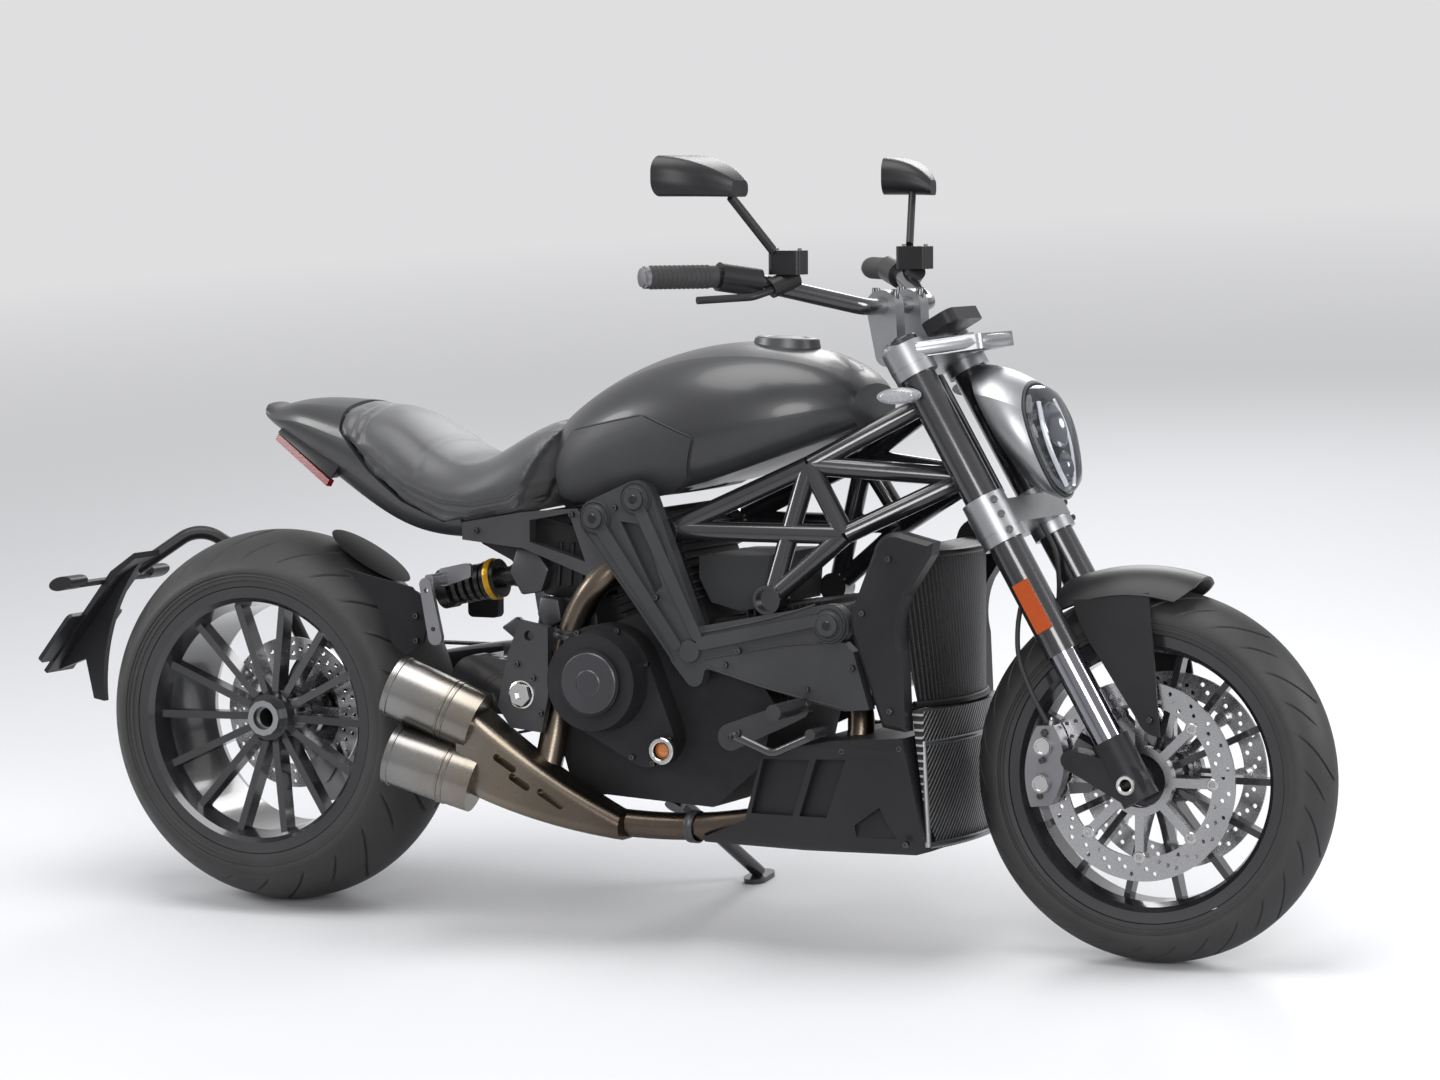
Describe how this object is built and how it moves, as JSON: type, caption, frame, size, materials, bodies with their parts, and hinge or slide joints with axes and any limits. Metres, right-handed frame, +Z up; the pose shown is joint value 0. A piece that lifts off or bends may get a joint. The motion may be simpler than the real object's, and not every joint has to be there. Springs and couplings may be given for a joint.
{
  "type": "cruiser motorcycle",
  "caption": "Low cruiser motorcycle with fat rear tyre, trellis frame, covered V-twin, single-sided swingarm, steering, spinning wheels and folding side stand, leaning as parked.",
  "frame": {"origin": "centre of the bounding box's underside, on the ground the machine stands on", "axes": "+X forward, +Y to the machine's left, +Z up; the machine leans to its left on its side stand"},
  "size_m": [2.3929, 0.9695, 1.3387],
  "materials": {
    "amber_lens": "amber reflector",
    "black_paint": "gloss black",
    "black_plastic": "matt black",
    "chrome": "polished",
    "clear_lens": "clear lens",
    "disc_steel": "ground disc",
    "engine_metal": "dark grey cast",
    "grey_plastic": "matt grey",
    "matt_tank": "matt dark grey",
    "red_lens": "red lens",
    "rubber": "matt black",
    "satin_silver": "satin silver",
    "seat_leather": "grey grained cover",
    "steel": "brushed stainless",
    "tyre_rubber": "matt tread and sidewall"
  },
  "bodies": {
    "chassis": {"swingarm": "black_paint", "drive_belt": "rubber", "trellis_frame": "black_paint", "engine_block": "engine_metal", "clutch_cover": "engine_metal", "alternator_cover": "engine_metal", "belt_covers": "grey_plastic", "airbox": "grey_plastic", "radiator": "black_plastic", "radiator_shrouds": "black_plastic", "belly_pan": "black_plastic", "mesh_grille": "satin_silver", "exhaust_system": "steel", "fuel_tank": "matt_tank", "tank_side_panels": "grey_plastic", "fuel_cap": "satin_silver", "rider_seat": "seat_leather", "tail_unit": "matt_tank", "tail_lights": "red_lens", "frame_plates": "engine_metal", "shock_absorber": "black_paint", "rear_hugger": "black_plastic", "plate_holder": "black_plastic", "rear_caliper": "satin_silver", "controls": "black_paint", "passenger_hangers": "black_paint"},
    "steering": {"lower_yoke": "satin_silver", "upper_yoke": "satin_silver", "fork_tubes": "black_paint", "fork_stanchions": "chrome", "fork_feet": "black_paint", "front_axle": "steel", "front_calipers": "satin_silver", "front_fender": "black_plastic", "handlebar": "black_paint", "grips": "rubber", "hand_controls": "black_plastic", "mirrors": "black_plastic", "headlamp_shell": "satin_silver", "headlamp_lens": "clear_lens", "dash": "black_plastic", "front_indicators": "clear_lens", "fork_reflectors": "amber_lens", "brake_hoses": "rubber"},
    "front_wheel": {"front_rim": "black_paint", "front_tyre": "tyre_rubber", "front_discs": "disc_steel"},
    "rear_wheel": {"rear_rim": "black_paint", "rear_tyre": "tyre_rubber", "rear_disc": "disc_steel", "rear_pulley": "satin_silver"},
    "side_stand": {"side_stand": "black_paint"}
  },
  "joints": [
    {"name": "steering_pivot", "type": "hinge", "parent": "chassis", "child": "steering", "pos_m": [0.5516, -0.05651, 0.81668], "axis": [-0.5, 0.113, 0.8586], "range_deg": [-30, 30]},
    {"name": "front_wheel_spin", "type": "hinge", "parent": "steering", "child": "front_wheel", "pos_m": [0.8966, -0.12474, 0.29843], "axis": [0, 0.9914, -0.1305], "continuous": true},
    {"name": "rear_wheel_spin", "type": "hinge", "parent": "chassis", "child": "rear_wheel", "pos_m": [-0.7184, -0.12161, 0.32223], "axis": [0, 0.9914, -0.1305], "continuous": true},
    {"name": "side_stand_fold", "type": "hinge", "parent": "chassis", "child": "side_stand", "pos_m": [-0.0184, -0.01141, 0.17862], "axis": [0.143, 0.7288, 0.6696], "range_deg": [0, 103]}
  ]
}
